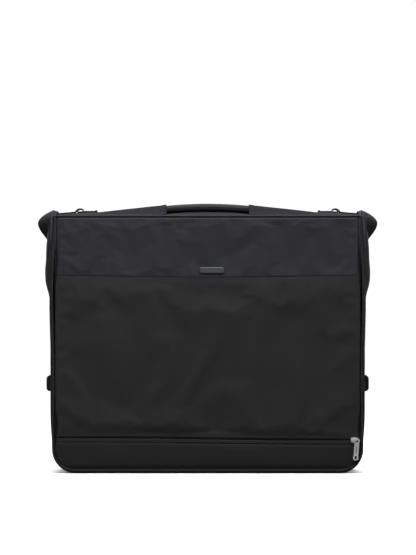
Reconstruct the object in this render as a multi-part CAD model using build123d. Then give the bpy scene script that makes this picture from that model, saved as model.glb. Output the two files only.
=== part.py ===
from build123d import *
import os

# Bi-fold garment bag, folded over its carry handle and standing on the free ends of its two halves.
# Frame: millimetres, +X to the wearer's right along the width, +Y from the front half to the rear
# half, +Z up. The origin is on the floor, in the middle of the bag.
# Three rigid groups carry the rest: the front half, the spine across the top, and the rear half.
# The spine is hinged to each half along a sewn fold, so the bag opens out into one long flat case.

# ---- driving dimensions ----
HALF_W = 283.0  # half of the width over the gussets
HALF_TOP = 465.0  # top end of each half
CORNER_R = 44.0  # bottom corners of each half
OUTER_Y = 65.0  # the fold lines and the outer cover of each half
INNER_Y = 6.5  # the inner faces, which look at each other across the gap
FOLD_Z = 466.0  # height of the two sewn folds
WALL = 3.0  # padded fabric wall
COVER = 3.0  # outer cover panels
BACKING = 2.4  # foam and board backing behind the covers
PIPING_R = 2.2
PIPING_INSET = 2.4
PANEL_INSET = 4.8  # covers stop inside the piping
SEAM_Z = 360.0  # yoke seam on the front cover
ZIP_Z = 61.0  # middle of the front pocket's zip
ZIP_BAND = 10.0  # width of a zip's tapes
REAR_ZIP_Z = 393.0
CROWN = 7.6  # rise of the spine between the folds
SPINE_T = 2.6
DIP_HALF, DIP = 86.0, 3.2  # the spine lies lower under the grip
SPINE_HALF_L = 280.0
INNER_TOP = 438.0  # top edge of the inner panels
MAIN_ZIP = (150.0, 432.0)  # low and high end of the zips in the inner panels
CHAIN_W, CHAIN_H = 5.2, 2.2
POCKET_ZIP_HALF, POCKET_CLOSED = 276.0, 266.3  # half length of a pocket's zip, and where its slider rests
TAPE_T = 1.2
SLIDER_L, SLIDER_W = 12.0, 9.6
LEG_X, LEG_R = 5.0, 1.15  # the two legs of a slider's bridge
PULL_L, PULL_T = 38.0, 1.8
PULL_Z = 4.8  # height of a pull over its tape
EYE_R, EYE_DROP = 2.6, 1.35  # hole in a pull, and how far it hangs below the leg
RING_X = 240.6  # bar of each strap ring
RING_T = 2.8
RING_REACH, RING_RISE = 11.2, 3.2  # how far each ring arches inwards and up from its bar
WEB_W, WEB_T = 25.0, 1.5
BUCKLE_Z = 163.0
BUCKLE_IN, BUCKLE_OUT = 285.0, 294.6  # thickness of a buckle, measured along the width
EAR_OUT, EAR_Z = 312.0, 456.0  # outermost point of each fold ear
HOOK_Z = 22.0
GRIP_HALF_L = 74.2
GRIP_H, GRIP_D = 13.8, 30.0  # height and depth of the grip
GRIP_ARCH = 3.4
GRIP_GAP = 0.8  # between the ends of the grip and the spine

SPINE_TOP = FOLD_Z - 0.4 + SPINE_T + CROWN  # highest line of the spine


# ---- helpers ----
def outline(inset, top=HALF_TOP):
    """A half's outline, seen from the front: square at the top, rounded at the bottom."""
    height = top - inset
    face = Pos(0, inset + height / 2) * Rectangle(2 * (HALF_W - inset), height)
    return fillet(face.vertices().sort_by(Axis.Y)[:2], CORNER_R - inset)


def band(low, high):
    """A strip of the front view between two heights."""
    return Pos(0, (low + high) / 2) * Rectangle(2 * HALF_W, high - low)


def slab(face, y_low, y_high):
    """A face of the front view, made solid between two depths."""
    return extrude(Plane((0, y_high, 0), (1, 0, 0), (0, -1, 0)) * face, amount=y_high - y_low)


def box(low, high):
    """A box between two corners."""
    size = [h - l for l, h in zip(low, high)]
    return Pos(*[(l + h) / 2 for l, h in zip(low, high)]) * Box(*size)


def tube(points, radius, wire_r):
    """A round cord through corner points, with rounded corners."""
    path = FilletPolyline(*points, radius=radius)
    return sweep((path ^ 0) * Circle(wire_r), path=path)


def to_rear(shape):
    """The same piece on the rear half, as a mirror image through the gap."""
    return mirror(shape, about=Plane.XZ)


def to_left(shape):
    return mirror(shape, about=Plane.YZ)


def pair(shape):
    """A piece on the right with its twin on the left, as two solids."""
    return Compound(children=[shape.solid(), to_left(shape).solid()])


def save(name, shape):
    export_step(shape, f"parts/{name}.step")


# ---- what both halves are made of, drawn for the front half ----
def gusset():
    """U-shaped wall round the sides and the bottom end."""
    return slab(outline(0) - outline(WALL, HALF_TOP + 20), 3.0 - OUTER_Y, -INNER_Y - WALL)


def edge_piping():
    """Piping cord in the seam between the outer cover and the gusset."""
    side = HALF_W - PIPING_INSET
    y = 0.5 - OUTER_Y
    points = [(-side, y, HALF_TOP), (-side, y, PIPING_INSET), (side, y, PIPING_INSET), (side, y, HALF_TOP)]
    return tube(points, CORNER_R - PIPING_INSET, PIPING_R)


def inner_binding():
    """Bound seam between the gusset and the inner panel."""
    inset = 1.6
    side = HALF_W - inset
    y = -INNER_Y - 1.5
    points = [(-side, y, INNER_TOP), (-side, y, inset), (side, y, inset), (side, y, INNER_TOP)]
    return tube(points, CORNER_R - inset, 1.4)


def backing():
    return slab(outline(PANEL_INSET), 3.0 - OUTER_Y, 3.0 - OUTER_Y + BACKING)


def inner_panel():
    """Padded inner face, slit down its middle for the main zip."""
    low, high = MAIN_ZIP
    slit = Pos(0, (low + high) / 2) * SlotOverall(high - low + 4, 13.0, rotation=90)
    return slab(outline(WALL + 0.4, INNER_TOP) - slit, -INNER_Y - WALL, -INNER_Y)


def stiffener():
    """Plastic board that keeps a half flat, inside the cover."""
    face = Pos(0, 235) * RectangleRounded(500, 400, 20)
    return slab(face, 3.0 - OUTER_Y + BACKING, 4.5 - OUTER_Y + BACKING)


def zip_chain(length):
    """Closed zip chain along local X on the tape plane, with eased upper edges."""
    chain = Pos(0, 0, CHAIN_H / 2) * Box(length, CHAIN_W, CHAIN_H)
    return fillet(chain.edges().filter_by(Axis.X).group_by(Axis.Z)[-1], 0.8)


def zip_tape(length, width):
    return Pos(0, 0, -TAPE_T / 2) * Box(length, width, TAPE_T)


def slider():
    """Zip slider on the tape plane: a channel over the chain, and a bridge on two legs."""
    body = Pos(0, 0, 2.35) * Box(SLIDER_L, SLIDER_W, 3.7)
    body = chamfer(body.edges().filter_by(Axis.Z), 2.0)
    body -= Pos(0, 0, 1.0) * Box(SLIDER_L + 2, CHAIN_W + 0.8, 3.2)
    for x in (-LEG_X, LEG_X):
        body += Pos(x, 0, 5.6) * Cylinder(LEG_R, 3.4)
    bridge = Pos(0, 0, 7.7) * Box(2 * (LEG_X + LEG_R), 2.6, 1.0)
    return body + fillet(bridge.edges().filter_by(Axis.Z), 0.9)


def pull():
    """Zip pull hanging along local -Y from a leg at the origin of its plane."""
    eye = Pos(0, -EYE_DROP) * Circle(5.1)
    bar = Pos(0, -PULL_L / 2) * Rectangle(8.6, PULL_L - 6)
    foot = Pos(0, -PULL_L + 4.4) * RectangleRounded(9.8, 10.0, 3.6)
    face = eye + bar + foot - Pos(0, -EYE_DROP) * Circle(EYE_R)
    face -= Pos(0, -PULL_L + 4.6) * SlotOverall(6.0, 3.4, rotation=90)
    plate = Pos(0, 0, PULL_Z) * extrude(face, amount=PULL_T)
    groove = Pos(0, -PULL_L / 2 - 0.6, PULL_Z + PULL_T) * Box(3.6, 16.0, 0.8)
    return plate - groove


def pocket_zip(name, place):
    """Tape, chain, slider and pull of a pocket's zip, closed."""
    save(f"{name}_zip_tape", place * zip_tape(2 * POCKET_ZIP_HALF, ZIP_BAND))
    save(f"{name}_zip_chain", place * zip_chain(2 * POCKET_ZIP_HALF))
    save(f"{name}_slider", place * (Pos(POCKET_CLOSED, 0, 0) * slider()))
    save(f"{name}_pull", place * (Pos(POCKET_CLOSED + LEG_X, 0, 0) * pull()))


# ---- front half ----
def build_front_half():
    face = outline(PANEL_INSET)
    low, high = ZIP_Z - ZIP_BAND / 2, ZIP_Z + ZIP_BAND / 2
    outer = -OUTER_Y
    save("front_gusset", gusset())
    save("front_edge_piping", edge_piping())
    save("front_inner_binding", inner_binding())
    save("front_backing", backing())
    save("front_inner_panel", inner_panel())
    save("front_stiffener", stiffener())
    save("front_yoke_panel", slab(face & band(SEAM_Z + 0.2, HALF_TOP), outer, outer + COVER))
    save("front_pocket_panel", slab(face & band(high + 0.1, SEAM_Z), outer - 1.6, outer + COVER))
    save("front_base_panel", slab(face & band(0, low - 0.1), outer, outer + COVER))
    tape_plane = Plane((0, outer + COVER - TAPE_T, ZIP_Z), (1, 0, 0), (0, -1, 0))
    pocket_zip("front_pocket", tape_plane)
    main_zip("front_main", 1)
    plate = Pos(7.5, SEAM_Z + 9.4) * RectangleRounded(44.0, 11.0, 3.0)
    badge = slab(plate, outer - 2.0, outer)
    save("badge_plate", chamfer(badge.faces().sort_by(Axis.Y)[0].edges(), 1.0))
    save("garment_strap", garment_strap())
    save("buckle_sockets", pair(buckle_socket()))
    save("front_side_webbing", pair(side_webbing(-58.0, -27.0)))


def main_zip(name, facing):
    """Zip down the middle of an inner panel. facing is +1 where it looks along +Y."""
    low, high = MAIN_ZIP
    wall_y = -facing * (INNER_Y + WALL)
    plane = Plane((0, wall_y, 0), (0, 0, 1), (0, facing, 0))
    middle = Plane((0, wall_y, (low + high) / 2), (0, 0, 1), (0, facing, 0))
    save(f"{name}_zip_tape", middle * zip_tape(high - low, 22.0))
    save(f"{name}_zip_chain", middle * zip_chain(high - low))
    at = low + 10.0
    save(f"{name}_slider", plane * (Pos(at, 0, 0) * slider()))
    save(f"{name}_pull", plane * (Pos(at - LEG_X, 0, 0) * Rot(0, 0, -90) * pull()))


def garment_strap():
    """Elastic strap across the compartment that keeps the clothes in place."""
    return box((-HALF_W + WALL + 0.5, -24.0, 236.0), (HALF_W - WALL - 0.5, -22.4, 262.0))


# ---- side-release buckles, drawn on the right ----
def buckle_body(y_low, y_high, half):
    """A buckle's outer form, with well rounded outer edges."""
    body = box((BUCKLE_IN, y_low, BUCKLE_Z - half), (BUCKLE_OUT, y_high, BUCKLE_Z + half))
    outer = body.edges().filter_by(Axis.Y).group_by(Axis.X)[-1]
    return fillet(outer, 6.5)


def across(half_depth, y_low, y_high, half_height):
    """A box centred in a buckle's thickness and height."""
    middle = (BUCKLE_IN + BUCKLE_OUT) / 2
    low = (middle - half_depth, y_low, BUCKLE_Z - half_height)
    return box(low, (middle + half_depth, y_high, BUCKLE_Z + half_height))


def buckle_socket():
    """Female half, open towards +Y, with a window on each edge for the barbs."""
    body = buckle_body(-34.0, 3.0, 14.5)
    body -= across(2.3, -24.0, 4.0, 11.6)
    body -= across(2.3, -20.3, -11.7, 15.0)
    return body - across(6.0, -31.4, -28.0, 11.5)


def buckle_plug():
    """Male half: a base with two webbing slots and a centre guide."""
    body = buckle_body(3.6, 21.0, 13.0)
    for y in (9.0, 15.0):
        body -= across(6.0, y, y + 3.0, 11.0)
    return body + across(1.8, -17.0, 4.6, 2.4)


def buckle_prong(up):
    """One sprung arm of the plug, with its barb in the socket's window. up is +1 or -1."""
    arm = [(3.3, 6.2), (-19.4, 6.2), (-19.4, 9.0)]
    barb = [(-15.6, 14.2), (-12.6, 14.2), (-12.6, 10.4), (3.3, 10.4)]
    face = make_face(Polyline(*[(y, up * z) for y, z in arm + barb], close=True))
    place = Plane(((BUCKLE_IN + BUCKLE_OUT) / 2 - 1.8, 0, BUCKLE_Z), (0, 1, 0), (1, 0, 0))
    return extrude(place * face, amount=3.6, dir=(1, 0, 0))


def side_webbing(y_low, y_high):
    """Webbing sewn flat on a gusset, under the buckle."""
    half = WEB_W / 2 - 1.0
    return box((HALF_W + 0.1, y_low, BUCKLE_Z - half), (HALF_W + 1.6, y_high, BUCKLE_Z + half))


# ---- spine ----
def build_spine():
    save("spine_panel", crowned(0.1 - DIP_HALF, DIP_HALF - 0.1, DIP, DIP))
    save("spine_end_panels", pair(spine_end()))
    save("spine_stiffener", box((-255, -44, FOLD_Z - 0.4), (255, 44, FOLD_Z + 1.0)))
    core = Rot(0, 90, 0) * (Cylinder(8.0, 500) - Cylinder(5.0, 502))
    save("crease_bar", Pos(0, 0, FOLD_Z - 12) * core)
    save("right_handle_wing", handle_wing())
    save("left_handle_wing", to_left(handle_wing()))
    save("ring_tabs", pair(ring_tab()))
    save("right_strap_ring", strap_ring())
    save("left_strap_ring", to_left(strap_ring()))
    save("right_fold_ear", fold_ear())
    save("left_fold_ear", to_left(fold_ear()))
    hollow = handle_grip(1.7, 9.4, 2.0)
    save("handle_grip", handle_grip(GRIP_H / 2, GRIP_D / 2, 0) - hollow)
    save("handle_core", handle_grip(1.5, 9.0, 2.4))


def crowned(x_low, x_high, dip, under_dip):
    """A stretch of the spine, crowned along its middle."""
    edge, low = OUTER_Y - 1.5, FOLD_Z - 0.4
    top = ThreePointArc((-edge, low + SPINE_T), (0, SPINE_TOP - dip), (edge, low + SPINE_T))
    under = ThreePointArc((edge, low), (0, SPINE_TOP - SPINE_T - under_dip), (-edge, low))
    ends = [Line(top @ 1, under @ 0), Line(under @ 1, top @ 0)]
    face = make_face([top, ends[0], under, ends[1]])
    return extrude(Plane((x_low, 0, 0), (0, 1, 0), (1, 0, 0)) * face, amount=x_high - x_low)


def spine_end():
    """The spine from the lower stretch under the grip to its right end, closed by a wall at the step."""
    wall = DIP_HALF + SPINE_T
    return crowned(DIP_HALF, wall, 0, DIP) + crowned(wall, SPINE_HALF_L, 0, 0)


def handle_wing():
    """Stitched fabric wing that rises from the spine to one end of the grip."""
    base = SPINE_TOP + 0.1

    def section(x, low_half, high_half, top):
        corners = [(-low_half, base), (low_half, base), (high_half, top), (-high_half, top)]
        return Plane((x, 0, 0), (0, 1, 0), (1, 0, 0)) * make_face(Polyline(*corners, close=True))

    inner = section(GRIP_HALF_L + 0.8, 48.0, 16.0, 489.8)
    return loft([inner, section(199.0, 44.0, 38.0, base + 1.4)], ruled=True)


def handle_grip(half_height, half_depth, end_gap):
    """Arched bar between the wings. The grip, its hollow and its core all take this form."""
    half = GRIP_HALF_L - end_gap
    mid_z = SPINE_TOP - DIP + GRIP_GAP + GRIP_H / 2
    path = ThreePointArc((-half, 0, mid_z), (0, 0, mid_z + GRIP_ARCH), (half, 0, mid_z))
    corner = min(half_height, half_depth) * 0.8
    section = (path ^ 0) * RectangleRounded(2 * half_height, 2 * half_depth, corner)
    return sweep(section, path=path)


def ring_tab():
    """Webbing sewn to the spine on both sides of a loop round the ring's bar, its inner end doubled."""
    z, outer_radius, inner_radius = SPINE_TOP + 0.1, 2.7, 1.75
    hole = Pos(RING_X, z + outer_radius) * Circle(inner_radius)
    face = Pos(RING_X, z + outer_radius) * Circle(outer_radius)
    face += Pos(RING_X - 1.5, z + WEB_T / 2) * Rectangle(67.0, WEB_T)
    face += Pos(RING_X - 33.2, z + WEB_T) * Rectangle(3.6, 2 * WEB_T)
    face -= hole
    return extrude(Plane((0, WEB_W / 2 - 1.0, 0), (1, 0, 0), (0, -1, 0)) * face, amount=WEB_W - 2.0)


def strap_ring():
    """Curved moulded ring, folded back inwards over its tab. Its bar sits in the tab's loop."""
    bar_z = SPINE_TOP + 2.8
    tip = (RING_X - RING_REACH, bar_z + RING_RISE - 1.2)
    curve = ThreePointArc((RING_X, bar_z), (RING_X - 0.45 * RING_REACH, bar_z + RING_RISE), tip)
    side = trace(curve, RING_T) + Pos(*tip) * Circle(RING_T / 2)
    plate = extrude(Plane((0, 15.5, 0), (1, 0, 0), (0, -1, 0)) * side, amount=31.0)
    window = box((tip[0] + RING_T / 2, -12.2, bar_z - 5), (RING_X + 3, 12.2, bar_z + 9))
    bar = Pos(RING_X, 0, bar_z) * Rot(90, 0, 0) * Cylinder(RING_T / 2, 31.0)
    return plate - window + bar


def fold_ear():
    """Pleat of the gusset that folding the bag pushes out past its side."""
    base = HALF_W + 0.6
    front, rear = (base, -58.0, FOLD_Z - 2.0), (base, 58.0, FOLD_Z - 2.0)
    low, top, tip = (base, 0, 424.0), (base, 0, 479.5), (EAR_OUT, 0, EAR_Z)
    ring = [front, low, rear, top]
    faces = [Face(Wire.make_polygon(ring, close=True))]
    for a, b in zip(ring, ring[1:] + ring[:1]):
        faces.append(Face(Wire.make_polygon([a, b, tip], close=True)))
    return Solid(Shell(faces))


# ---- rear half ----
def build_rear_half():
    face = outline(PANEL_INSET)
    low, high = REAR_ZIP_Z - ZIP_BAND / 2, REAR_ZIP_Z + ZIP_BAND / 2
    outer = OUTER_Y
    save("rear_gusset", to_rear(gusset()))
    save("rear_edge_piping", to_rear(edge_piping()))
    save("rear_inner_binding", to_rear(inner_binding()))
    save("rear_backing", to_rear(backing()))
    save("rear_inner_panel", to_rear(inner_panel()))
    save("rear_stiffener", to_rear(stiffener()))
    save("rear_yoke_panel", slab(face & band(high + 0.1, HALF_TOP), outer - COVER, outer))
    save("rear_body_panel", slab(face & band(0, low - 0.1), outer - COVER, outer + 1.6))
    tape_plane = Plane((0, outer - COVER + TAPE_T, REAR_ZIP_Z), (-1, 0, 0), (0, 1, 0))
    pocket_zip("rear_pocket", tape_plane)
    main_zip("rear_main", -1)
    save("buckle_plugs", pair(buckle_plug()))
    for side, place in (("right", lambda s: s), ("left", to_left)):
        save(f"{side}_upper_prong", place(buckle_prong(1)))
        save(f"{side}_lower_prong", place(buckle_prong(-1)))
    save("rear_side_webbing", pair(side_webbing(9.0, 58.0)))
    save("hanger_bracket", hanger_bracket())
    save("hanging_hook", hanging_hook())
    save("hook_plate", hook_plate())


def hanger_bracket():
    """Metal bracket inside the rear half that holds the hangers: a plate, two cheeks and a bar."""
    y = INNER_Y + WALL + 0.1
    bracket = box((-32, y, 8), (32, y + 2, 62))
    for x in (-32, 29):
        bracket += box((x, y, 20), (x + 3, y + 26, 44))
    bar = Pos(0, y + 20, 32) * Rot(0, 90, 0) * Cylinder(3.0, 62)
    return bracket + bar


def hanging_hook():
    """Wire hook stowed flat in the gap, with an eye round the pin of its plate."""
    y = 2.9
    eye = Torus(5.2, 1.7)
    path = FilletPolyline((0, 0, 5.2), (0, 0, 34), (22, 0, 34), (22, 0, 74), (-22, 0, 74), (-22, 0, 50),
                          radius=[10.0, 10.0, 19.0, 19.0])
    stem = sweep((path ^ 0) * Circle(1.7), path=path)
    return Pos(0, y, HOOK_Z) * ((Rot(90, 0, 0) * eye) + stem)


def hook_plate():
    """Plate on the rear inner panel, with the pin that the hook swivels on."""
    face = Pos(0, HOOK_Z) * RectangleRounded(26, 22, 4)
    plate = slab(face, 5.0, INNER_Y)
    pin = Pos(0, 3.0, HOOK_Z) * Rot(90, 0, 0) * Cylinder(3.2, 4.6)
    head = Pos(0, 0.75, HOOK_Z) * Rot(90, 0, 0) * Cylinder(5.4, 0.7)
    return plate + pin + head


os.makedirs("parts", exist_ok=True)
build_front_half()
build_spine()
build_rear_half()
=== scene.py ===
import math

import bpy
from mathutils import Matrix, Vector, noise


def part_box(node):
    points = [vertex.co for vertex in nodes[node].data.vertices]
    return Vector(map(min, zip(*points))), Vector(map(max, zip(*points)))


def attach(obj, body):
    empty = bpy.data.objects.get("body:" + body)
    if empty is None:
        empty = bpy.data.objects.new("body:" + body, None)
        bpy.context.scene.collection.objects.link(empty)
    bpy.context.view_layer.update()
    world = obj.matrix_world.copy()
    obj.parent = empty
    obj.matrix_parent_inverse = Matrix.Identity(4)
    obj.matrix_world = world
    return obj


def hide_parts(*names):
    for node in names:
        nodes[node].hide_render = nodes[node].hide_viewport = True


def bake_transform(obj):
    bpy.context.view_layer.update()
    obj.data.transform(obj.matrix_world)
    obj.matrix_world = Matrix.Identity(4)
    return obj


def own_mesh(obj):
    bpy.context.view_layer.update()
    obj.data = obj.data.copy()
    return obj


# Looks for the folded garment bag. All lengths are in metres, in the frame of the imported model:
# +X right along the width, +Y from the front half to the rear half, +Z up, floor at z = 0.

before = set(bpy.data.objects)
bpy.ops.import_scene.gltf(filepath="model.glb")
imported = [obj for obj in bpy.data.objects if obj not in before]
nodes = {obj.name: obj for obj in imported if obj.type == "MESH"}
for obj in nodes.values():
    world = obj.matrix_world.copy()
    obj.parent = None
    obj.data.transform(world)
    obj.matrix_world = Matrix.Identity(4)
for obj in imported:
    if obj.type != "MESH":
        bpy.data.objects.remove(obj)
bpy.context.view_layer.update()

# ---- sizes ----
OUTER = 0.065  # depth of the outer covers
INNER = 0.0065  # depth of the inner faces
HALF_W = 0.283  # half the width over the gussets
TOP = 0.465  # top edge of the two halves
COVER_TOP = TOP + 0.0011  # upper edge of the cover cloth, just under the spine's
CORNER = 0.044  # radius of the two lower corners
GAP = 0.0068  # from the outline in to the edge of a cover
SEAM_Z, SEAM_SAG = 0.3604, 0.0040  # yoke seam, and how far its middle hangs
ZIP_Z, REAR_ZIP_Z = 0.061, 0.393  # middles of the two pocket zips
ZIP_HALF, ZIP_HALF_L = 0.0042, 0.2745  # half the width of the opening, and half the length of the tapes
MAIN_ZIP = (0.150, 0.432)  # low and high end of the zips in the inner panels
PULL_X = 0.2713  # the leg of the front pocket's slider, where its pull hangs
PULL_LEAN, PULL_DRAWN_IN = math.radians(4.0), 0.95
# near-black marks painted as the shade in the pull's two eyes and its groove: how far each is below the leg,
# half its straight length, its radius
PULL_SHADE_MARKS = (("upper_eye_shade", 0.00135, 0.0, 0.0026), ("lower_eye_shade", 0.0334, 0.0013, 0.0017),
              ("groove_shade", 0.0196, 0.0066, 0.0004))
CROWN, CROWN_Z = 0.0078, 0.4764  # rise of the spine between its edges, and its highest line
GRIP_LOW, GRIP_HALF_L = 0.4730, 0.0762  # the grip's underside at its ends, and half its length
SPINE_HALF_L = 0.280
RING_X = 0.2406  # bar of each strap ring
CUFF_END = 0.0835  # inner end of the sewn cuffs on the grip
WEAVE = 0.00075  # pitch of the body cloth's threads
STITCH_PITCH, STITCH_L, STITCH_R = 0.0034, 0.0024, 0.0003
STITCH_HALF_L = 0.268  # half the length of a line of topstitching
EDGE_RADIUS = 0.0003  # on the edges of the hard parts
SETTLE_FRAMES = 20

# ---- camera ----
LENS, SENSOR = 200.0, 36.0  # millimetres
VIEW_H = 1.0088  # height of the picture at the front cover
VIEW_X, VIEW_Z = 0.00065, 0.3564


# ---- shader helpers ----
def new_material(name):
    """A new material, with its nodes, its links and its surface shader."""
    mat = bpy.data.materials.new(name)
    mat.use_nodes = True
    return mat, mat.node_tree.nodes, mat.node_tree.links, mat.node_tree.nodes["Principled BSDF"]


def add_node(nodes_, kind, **values):
    made = nodes_.new(kind)
    for key, value in values.items():
        setattr(made, key, value)
    return made


def band_wave(nodes_, links, source, direction, pitch):
    """Threads side by side, one for each pitch. A wave of scale 1 repeats every 0.314 m."""
    wave = add_node(nodes_, "ShaderNodeTexWave", bands_direction=direction)
    wave.inputs["Scale"].default_value = 0.314 / pitch
    links.new(source, wave.inputs["Vector"])
    return wave.outputs["Fac"]


def mixed(nodes_, links, factor, low, high):
    """A colour between low and high by a factor socket."""
    mix = add_node(nodes_, "ShaderNodeMix", data_type="RGBA")
    links.new(factor, mix.inputs["Factor"])
    mix.inputs["A"].default_value = (*low, 1.0)
    mix.inputs["B"].default_value = (*high, 1.0)
    return mix.outputs["Result"]


def cloth(name, colour, pitch=WEAVE, across=("X", "Y"), space="UV", contrast=0.35, roughness=0.7,
          specular=0.3, sheen=0.15, depth=0.00012, mottle=0.12, mottle_scale=9.0):
    """Woven cloth: over-and-under weave in colour and bump, with a faint mottle over larger areas."""
    mat, nn, ll, bsdf = new_material(name)
    where = add_node(nn, "ShaderNodeTexCoord").outputs[space]
    warp = band_wave(nn, ll, where, across[0], pitch)
    weft = band_wave(nn, ll, where, across[1], pitch * 1.08)
    weave = add_node(nn, "ShaderNodeMath", operation="MULTIPLY")
    ll.new(warp, weave.inputs[0])
    ll.new(weft, weave.inputs[1])
    spots = add_node(nn, "ShaderNodeTexNoise")
    spots.inputs["Scale"].default_value = mottle_scale
    spots.inputs["Detail"].default_value = 5.0
    ll.new(add_node(nn, "ShaderNodeTexCoord").outputs["Object"], spots.inputs["Vector"])
    threads = mixed(nn, ll, weave.outputs[0], [c * (1 - contrast) for c in colour],
                    [c * (1 + contrast) for c in colour])
    tint = mixed(nn, ll, spots.outputs["Fac"], [1 - mottle] * 3, [1 + mottle] * 3)
    product = add_node(nn, "ShaderNodeMix", data_type="RGBA", blend_type="MULTIPLY")
    product.inputs["Factor"].default_value = 1.0
    ll.new(threads, product.inputs["A"])
    ll.new(tint, product.inputs["B"])
    ll.new(product.outputs["Result"], bsdf.inputs["Base Color"])
    bump = add_node(nn, "ShaderNodeBump")
    bump.inputs["Distance"].default_value = depth
    bump.inputs["Strength"].default_value = 0.8
    ll.new(weave.outputs[0], bump.inputs["Height"])
    ll.new(bump.outputs["Normal"], bsdf.inputs["Normal"])
    bsdf.inputs["Roughness"].default_value = roughness
    bsdf.inputs["Specular IOR Level"].default_value = specular
    bsdf.inputs["Sheen Weight"].default_value = sheen
    bsdf.inputs["Sheen Roughness"].default_value = 0.45
    return mat


def hard(name, colour, roughness, metallic=0.0, grain=900.0, stretch=(1, 1, 1), specular=0.5, wear=0.15):
    """Moulded plastic or metal: fine grain in bump and roughness, with faint wear in the colour."""
    mat, nn, ll, bsdf = new_material(name)
    place = add_node(nn, "ShaderNodeMapping")
    place.inputs["Scale"].default_value = stretch
    ll.new(add_node(nn, "ShaderNodeTexCoord").outputs["Object"], place.inputs["Vector"])
    fine = add_node(nn, "ShaderNodeTexNoise")
    fine.inputs["Scale"].default_value = grain
    fine.inputs["Detail"].default_value = 4.0
    ll.new(place.outputs["Vector"], fine.inputs["Vector"])
    broad = add_node(nn, "ShaderNodeTexNoise")
    broad.inputs["Scale"].default_value = grain / 12
    ll.new(place.outputs["Vector"], broad.inputs["Vector"])
    shade = mixed(nn, ll, broad.outputs["Fac"], [c * (1 - wear) for c in colour],
                  [min(1.0, c * (1 + wear)) for c in colour])
    ll.new(shade, bsdf.inputs["Base Color"])
    rough = add_node(nn, "ShaderNodeMapRange")
    rough.inputs["To Min"].default_value = roughness * 0.8
    rough.inputs["To Max"].default_value = roughness * 1.25
    ll.new(fine.outputs["Fac"], rough.inputs["Value"])
    ll.new(rough.outputs["Result"], bsdf.inputs["Roughness"])
    bump = add_node(nn, "ShaderNodeBump")
    bump.inputs["Distance"].default_value = 0.00003
    bump.inputs["Strength"].default_value = 0.5
    ll.new(fine.outputs["Fac"], bump.inputs["Height"])
    ll.new(bump.outputs["Normal"], bsdf.inputs["Normal"])
    bsdf.inputs["Metallic"].default_value = metallic
    bsdf.inputs["Specular IOR Level"].default_value = specular
    return mat


NYLON = cloth("nylon_body", (0.0198, 0.0196, 0.0210))
YOKE = cloth("nylon_yoke", (0.0225, 0.0210, 0.0282), contrast=0.25, roughness=0.65, specular=0.3)
SPINE = cloth("spine_nylon", (0.0240, 0.0234, 0.0276), contrast=0.25, roughness=0.8, specular=0.08, sheen=0.0)
FOLDED = cloth("folded_nylon", (0.0260, 0.0250, 0.0305), contrast=0.25, roughness=0.75, specular=0.15)
# light cloth for the corner ridges, much lighter than the gusset's: painted sheen of silky cloth
RIDGE_PAINTED_SHEEN = cloth("ridge_painted_sheen", (0.0520, 0.0500, 0.0590), pitch=0.0009, contrast=0.3, roughness=0.6,
              specular=0.25)
GUSSET = cloth("gusset_nylon", (0.0150, 0.0150, 0.0165))
EAR = cloth("ear_weave", (0.0130, 0.0131, 0.0136), pitch=0.0034, contrast=0.8, depth=0.0009, specular=0.15,
            sheen=0.05, mottle=0.7, mottle_scale=240.0)
FAN = cloth("fan_nylon", (0.0150, 0.0150, 0.0165), space="Object", across=("Y", "Z"))
PIPING = cloth("piping_tape", (0.0215, 0.0208, 0.0240), pitch=0.0009, contrast=0.3, roughness=0.65,
               specular=0.2)
# near-black cloth: painted shade for the gaps beside the covers' edges, the line under the spine's edges and
# the pull's eyes and groove
SHADE = cloth("seam_allowance", (0.0022, 0.0022, 0.0025), specular=0.0, sheen=0.0)
LINING = cloth("lining", (0.0240, 0.0240, 0.0270), pitch=0.0005, contrast=0.2, roughness=0.45, specular=0.5)
# foam backing darkened to near-black: painted shade where it shows in the gap beside a cover's edge
FOAM = cloth("foam", (0.0025, 0.0025, 0.0028), space="Object", across=("X", "Z"), pitch=0.0015, roughness=0.9)
WEBBING = cloth("webbing", (0.024, 0.023, 0.027), space="Object", across=("X", "DIAGONAL"), pitch=0.0016,
                contrast=0.5, depth=0.0003, roughness=0.6)
STRAP = cloth("strap_webbing", (0.0040, 0.0040, 0.0045), pitch=0.0016, contrast=0.5, depth=0.0003,
              specular=0.1, sheen=0.0)
ZIP_TAPE = cloth("zip_tape", (0.025, 0.025, 0.027), pitch=0.0007, contrast=0.4, roughness=0.6)
TAPE_HIDDEN = cloth("zip_tape_inner", (0.026, 0.026, 0.028), space="Object", across=("X", "Z"), pitch=0.0007)
THREAD = hard("thread", (0.040, 0.039, 0.043), 0.6, grain=3000.0, specular=0.3)
COIL = hard("zip_coil", (0.016, 0.016, 0.017), 0.35)
GRIP = hard("grip_rubber", (0.0142, 0.0140, 0.0150), 0.5, grain=600.0, specular=0.25, wear=0.1)
PLASTIC = hard("black_plastic", (0.008, 0.008, 0.009), 0.28, grain=1200.0)
BOARD = hard("board", (0.05, 0.05, 0.05), 0.6, grain=300.0)
SILVER = hard("silver_metal", (0.91, 0.89, 0.85), 0.36, metallic=0.55, wear=0.04, grain=1500.0)
GUNMETAL = hard("gunmetal", (0.115, 0.12, 0.125), 0.45, metallic=0.6, stretch=(0.15, 1, 3), grain=1500.0)
STEEL = hard("steel", (0.55, 0.55, 0.56), 0.3, metallic=1.0, stretch=(0.3, 1, 1))


# ---- names ----
def half_name(side):
    return "front" if side < 0 else "rear"


def side_name(side):
    return "right" if side > 0 else "left"


# ---- mesh helpers ----
def round_edges(obj, width, sharper_than):
    """A small bevel on the edges that turn by more than an angle in degrees."""
    rounded = obj.modifiers.new("rounded", "BEVEL")
    rounded.width = width
    rounded.segments = 2
    rounded.limit_method = "ANGLE"
    rounded.angle_limit = math.radians(sharper_than)


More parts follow.
